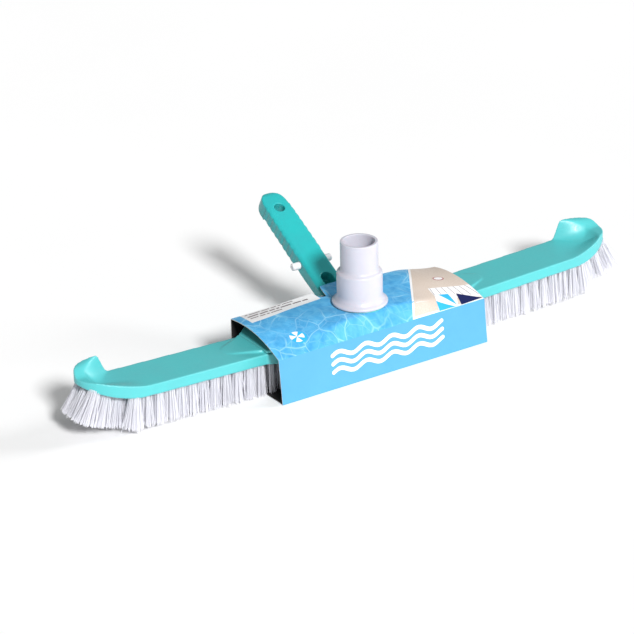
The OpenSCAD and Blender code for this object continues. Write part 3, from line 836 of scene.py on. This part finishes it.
def card_wrap():
    """The card's outside as one closed wrap of faces, with the print's layout as UVs."""
    top_span = BACK_Y - FRONT_TOP
    columns = [CARD_HALF * (-1 + 2 * i / ACROSS) for i in range(ACROSS + 1)]
    front = [-FOLD_Z + FOLD_Z * k / UP for k in range(UP)] + [-0.7, -0.2]
    over = [0.35, 1.0] + [top_span * k / OVER for k in range(2, OVER)] + [top_span - 0.4]
    bm = bmesh.new()
    uv = bm.loops.layers.uv.new("print")
    rows = []
    for x in columns:
        row = [(card_point(x, v), v) for v in front + over]
        back_top = top_height(x, BACK_Y)
        for k in range(DOWN + 1):
            z = back_top - 0.5 - (back_top - 0.5) * k / DOWN
            row.append((Vector((x, BACK_Y, z)) * MM, top_span + back_top - z))
        for k in range(1, UNDER):
            y = BACK_Y + (FRONT_LOW - BACK_Y) * k / UNDER
            row.append((Vector((x, y, 0)) * MM, top_span + back_top + BACK_Y - y))
        rows.append([(bm.verts.new(p), x, v) for p, v in row])
    count = len(rows[0])
    first_top, last_top = len(front), len(front) + len(over) - 1
    for a, b in zip(rows, rows[1:]):
        for i in range(count):
            j = (i + 1) % count
            corners = (a[i], b[i], b[j], a[j])
            face = bm.faces.new([c[0] for c in corners])
            face.material_index = 0 if first_top - 1 <= i <= last_top else 1
            for loop, corner in zip(face.loops, corners):
                loop[uv].uv = (corner[1] * MM, corner[2] * MM)
    bmesh.ops.recalc_face_normals(bm, faces=bm.faces)
    return bm


def card_draft(bm, name, materials, inside, rim):
    """A sheet of card as a draft, whose inside and rim take the materials that many slots further on."""
    mesh = bpy.data.meshes.new(name)
    bm.to_mesh(mesh)
    bm.free()
    draft = bpy.data.objects.new(name, mesh)
    bpy.context.scene.collection.objects.link(draft)
    for material in materials:
        mesh.materials.append(material)
    shell = draft.modifiers.new("thickness", "SOLIDIFY")
    shell.thickness = CARD_THICK
    shell.offset = -1
    shell.material_offset = inside
    shell.material_offset_rim = rim
    return draft


def make_card():
    materials = (WATER, PLAIN_BLUE, CARD_INSIDE, CARD_INSIDE_LOW, CARD_CORE)
    draft = card_draft(card_wrap(), "card_draft", materials, 2, 4)
    cutters = [hole_cutter(), notch_cutter()]
    for cutter in cutters:
        cut = draft.modifiers.new("cut", "BOOLEAN")
        cut.operation = "DIFFERENCE"
        cut.solver = "EXACT"
        cut.material_mode = "TRANSFER"
        cut.object = cutter
    finished = applied(draft)
    for cutter in cutters:
        bpy.data.objects.remove(cutter)
    smooth_shading(finished, 35)
    new_piece("card_sleeve_printed", finished, [], "brush", "printed_card", "card_sleeve")


def cutter_from(bm, name):
    bmesh.ops.recalc_face_normals(bm, faces=bm.faces)
    mesh = bpy.data.meshes.new(name)
    bm.to_mesh(mesh)
    bm.free()
    mesh.materials.append(CARD_CORE)
    cutter = bpy.data.objects.new(name, mesh)
    bpy.context.scene.collection.objects.link(cutter)
    return cutter


def hole_cutter():
    bm = bmesh.new()
    bmesh.ops.create_cone(bm, cap_ends=True, segments=128, radius1=HOLE_R * MM, radius2=HOLE_R * MM,
                          depth=30 * MM, matrix=Matrix.Translation((0, 0, (FOLD_Z + 15) * MM)))
    return cutter_from(bm, "hole_cutter")


def notch_cutter():
    """The handle's notch: a rounded bay cut in from the back edge."""
    round_r = 5.0
    outline = [(-NOTCH_HALF, 60), (-NOTCH_HALF, NOTCH_Y + round_r)]
    outline += [(-NOTCH_HALF + round_r - round_r * math.cos(a), NOTCH_Y + round_r - round_r * math.sin(a))
                for a in (math.pi / 2 * k / 6 for k in range(1, 7))]
    outline += [(-x, y) for x, y in reversed(outline)]
    bm = bmesh.new()
    floor = [bm.verts.new((x * MM, y * MM, NOTCH_Z * MM)) for x, y in outline]
    roof = [bm.verts.new((x * MM, y * MM, 70 * MM)) for x, y in outline]
    bm.faces.new(floor)
    bm.faces.new(roof)
    for i in range(len(outline)):
        j = (i + 1) % len(outline)
        bm.faces.new((floor[i], floor[j], roof[j], roof[i]))
    return cutter_from(bm, "notch_cutter")


# ---------------------------------------------------------------- the print on the card

# Each layer of ink lies this many mm above the one below it
LAYER = 0.05


def sheet_mesh(polygon, layer, grid=2.0):
    """A thin inked patch in the card's (x, v) layout, cut to a convex polygon and laid on the card."""
    xs, vs = [p[0] for p in polygon], [p[1] for p in polygon]
    columns = max(1, math.ceil((max(xs) - min(xs)) / grid))
    rows = max(1, math.ceil((max(vs) - min(vs)) / grid))
    bm = bmesh.new()
    bmesh.ops.create_grid(bm, x_segments=columns, y_segments=rows, size=0.5)
    for vertex in bm.verts:
        vertex.co.x = min(xs) + (vertex.co.x + 0.5) * (max(xs) - min(xs))
        vertex.co.y = min(vs) + (vertex.co.y + 0.5) * (max(vs) - min(vs))
    turn = sum(a[0] * b[1] - b[0] * a[1] for a, b in zip(polygon, polygon[1:] + polygon[:1]))
    for a, b in zip(polygon, polygon[1:] + polygon[:1]):
        outward = Vector((b[1] - a[1], a[0] - b[0], 0)) * (1 if turn > 0 else -1)
        bmesh.ops.bisect_plane(bm, geom=everything(bm), plane_co=(a[0], a[1], 0), plane_no=outward,
                               clear_outer=True)
    for vertex in bm.verts:
        vertex.co = card_point(vertex.co.x, vertex.co.y, LAYER * layer)
    mesh = bpy.data.meshes.new("patch")
    bm.to_mesh(mesh)
    bm.free()
    return mesh


def patches(name, material, polygons, layer):
    """One printed piece made of several inked patches."""
    bm = bmesh.new()
    for polygon in polygons:
        patch = sheet_mesh(polygon, layer)
        bm.from_mesh(patch)
        bpy.data.meshes.remove(patch)
    mesh = bpy.data.meshes.new(name)
    bm.to_mesh(mesh)
    bm.free()
    smooth_shading(mesh, 35)
    new_piece(name, mesh, [material], "brush", "printed_card")


def strip(a, b, width):
    """The four corners of a straight strip from a to b."""
    along = Vector(b) - Vector(a)
    side = Vector((-along.y, along.x)).normalized() * width / 2
    start, end = Vector(a), Vector(b)
    return [tuple(start + side), tuple(start - side), tuple(end - side), tuple(end + side)]


def disc(centre, rx, ry, start=0.0, end=360.0, steps=20):
    """An ellipse, or a sector of one with its point at the centre."""
    whole = end - start >= 360
    turns = [math.radians(start + (end - start) * k / steps) for k in range(steps + (0 if whole else 1))]
    rim = [(centre[0] + rx * math.cos(a), centre[1] + ry * math.sin(a)) for a in turns]
    return rim if whole else [centre] + rim


def ribbon(curve, width):
    """Short strips along a curve, which together make one stroke."""
    return [strip(a, b, width) for a, b in zip(curve, curve[1:])]


def from_fold(*points):
    """Card layout points from (x, y) on the top."""
    return [(x, y - FRONT_TOP) for x, y in points]


def make_print():
    make_waves()
    make_beach()
    make_label()
    make_ball()


def make_waves():
    """Three white waves on the front panel."""
    left, right, points = -52.0, 58.0, 96
    waves = []
    width, swing, wave = 3.6, 2.3, 26.5
    for height in (29.0, 21.8, 14.6):
        curve = []
        for k in range(points + 1):
            x = left + (right - left) * k / points
            curve.append((x, height - FOLD_Z + swing * math.sin(2 * math.pi * (x - left) / wave)))
        waves += ribbon(curve, width)
        waves += [disc(end, width / 2, width / 2) for end in (curve[0], curve[-1])]
    patches("print_waves", PAPER_WHITE, waves, 1)


def make_beach():
    """A strip of sand at the right end, with a parasol fan, a deck and a plain pennant."""
    patches("print_shoreline", PAPER_WHITE,
            [from_fold((29.8, -34.0), (75.2, 37.6), (103.0, 37.6), (103.0, -34.0))], 1)
    patches("print_beach", SAND, [from_fold((32.6, -32.6), (77.6, 37.4), (103.1, 37.4), (103.1, -32.6))], 2)
    deck = [from_fold((63.5, -8.0), (102.9, -12.5), (102.9, -31.0), (62.0, -20.5))]
    patches("print_deck", PAPER_WHITE, deck, 3)
    planks = [strip(*from_fold((65.0 + 5.6 * k, -8.6 - 0.6 * k), (62.6 + 6.6 * k, -20.2 - 1.2 * k)), 0.5)
              for k in range(7)]
    patches("print_planks", GREY_INK, planks, 4)
    heart = (76.5, -33.4)
    rays = [from_fold(heart, (62.5, -18.6), (60.2, -24.8), (57.0, -32.8)),
            from_fold(heart, (62.5, -18.6), (69.0, -17.0), (77.0, -18.0), (83.0, -22.0))]
    patches("print_parasol_white", PAPER_WHITE, rays, 4)
    blue_rays = [from_fold((74.0, -33.6), (57.4, -33.6), (59.8, -25.2)),
                 from_fold((76.2, -32.4), (66.5, -18.6), (76.0, -19.4))]
    patches("print_parasol_blue", SKY, blue_rays, 5)
    patches("print_pennant", NAVY, [from_fold((83.6, -20.6), (102.6, -32.6), (80.0, -33.6))], 5)
    patches("print_towel_edge", ROSE_INK, [disc(p, 5.4, 3.6) for p in from_fold((84.0, 5.5))], 3)
    patches("print_towel", PAPER_WHITE, [disc(p, 4.2, 2.6) for p in from_fold((84.0, 5.5))], 4)


def make_label():
    """A blank white label near the back edge, with grey bars where small print would be."""
    label = from_fold((-95.0, 37.6), (-95.6, 17.0), (-22.6, 25.0), (-22.6, 37.6))
    patches("print_label", PAPER_WHITE, [label], 1)
    bars = []
    for row, (start, end) in enumerate(((-92, -44), (-92, -36), (-92, -60))):
        y, x, k = 35.0 - 4.6 * row, start, 0
        while x < end:
            length = 3.0 + 2.6 * ((k * 7 + row * 3) % 4)
            width = 1.9 if row == 1 else 1.3
            bars.append(strip(*from_fold((x, y - 0.02 * (end - x)), (x + length, y)), width))
            x += length + 1.3
            k += 1
    patches("print_label_bars", GREY_INK, bars, 2)


def make_ball():
    """A beach ball afloat, with white and blue panels."""
    centre, size = from_fold((-74.4, -17.4))[0], 6.3
    patches("print_ball_shade", SKY, [disc((centre[0] + 0.8, centre[1] - 0.8), size + 0.8, size + 0.8)], 1)
    patches("print_ball", PAPER_WHITE, [disc(centre, size, size)], 2)
    panels = [disc(centre, size, size, start, start + 36) for start in (15, 105, 195, 285)]
    patches("print_ball_panels", SKY, panels, 3)


TONGUE_HALF, TONGUE_START, TONGUE_END, TONGUE_TAPER = 15.5, 26.4, 40.5, 2.5
TONGUE_Z, TONGUE_RISE, TONGUE_CROWN = 50.7, 3.4, 0.3
TONGUE_COLUMNS, TONGUE_ROWS = 24, 16


def make_tongue():
    """The card's flap over the handle's fork."""
    bm = bmesh.new()
    uv = bm.loops.layers.uv.new("print")
    grid = []
    for i in range(TONGUE_COLUMNS + 1):
        row = []
        for k in range(TONGUE_ROWS + 1):
            t = k / TONGUE_ROWS
            across = (-1 + 2 * i / TONGUE_COLUMNS) * (TONGUE_HALF - TONGUE_TAPER * t ** 3)
            y = TONGUE_START + (TONGUE_END - TONGUE_START) * t
            crown = TONGUE_CROWN * (across / TONGUE_HALF) ** 2
            z = TONGUE_Z + TONGUE_RISE * math.sin(t * math.pi / 2) - crown
            row.append(bm.verts.new(Vector((across, y, z)) * MM))
        grid.append(row)
    for i in range(TONGUE_COLUMNS):
        for k in range(TONGUE_ROWS):
            face = bm.faces.new((grid[i][k], grid[i + 1][k], grid[i + 1][k + 1], grid[i][k + 1]))
            for loop in face.loops:
                loop[uv].uv = (loop.vert.co.x, loop.vert.co.y - FRONT_TOP * MM)
    finished = applied(card_draft(bm, "tongue_draft", (WATER, CARD_INSIDE, CARD_CORE), 1, 2))
    smooth_shading(finished, 40)
    piece = bpy.data.objects.new("card_tongue", finished)
    bpy.context.scene.collection.objects.link(piece)
    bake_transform(piece)


# ---------------------------------------------------------------- putting it together


def dress(material, *nodes):
    """Gives CAD nodes that keep their own mesh a finished material."""
    for node in nodes:
        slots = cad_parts[node].material_slots
        for k in range(len(slots)):
            slots[k].material = material


make_camera()
make_studio()
moulded("brush_body", "body_moulding", 0.75 * MM, 5, TEAL, "brush", "teal_plastic", body_shape)
moulded("centre_cover", "cover_moulding", 0.8 * MM, 3, TEAL, "brush", "teal_plastic")
moulded("handle", "handle_moulding", 0.45 * MM, 10, TEAL_SHADED, "handle", "teal_plastic", finish=handle_finish)
for seed, (part, per_tuft) in enumerate((("arm_left", 105), ("arm_right", 105), ("end_left", 190),
                                         ("end_right", 190), ("centre", 34))):
    tip = END_TUFT_TIP if part.startswith("end") else TUFT_TIP
    bristles("bristles_" + part, "tufts_" + part, per_tuft, 20 + seed, tip)
connector()
for side in ("left", "right"):
    button(side)
    spring_leaf(side)
make_card()
make_print()
make_tongue()
dress(STEEL, "cover_screws", "retaining_ring", "pivot_bolt", "pivot_washers", "pivot_nut")
dress(BRASS, "anchors_arm_left", "anchors_arm_right", "anchors_end_left", "anchors_end_right",
      "anchors_centre")
dress(RUBBER, "swivel_seal")
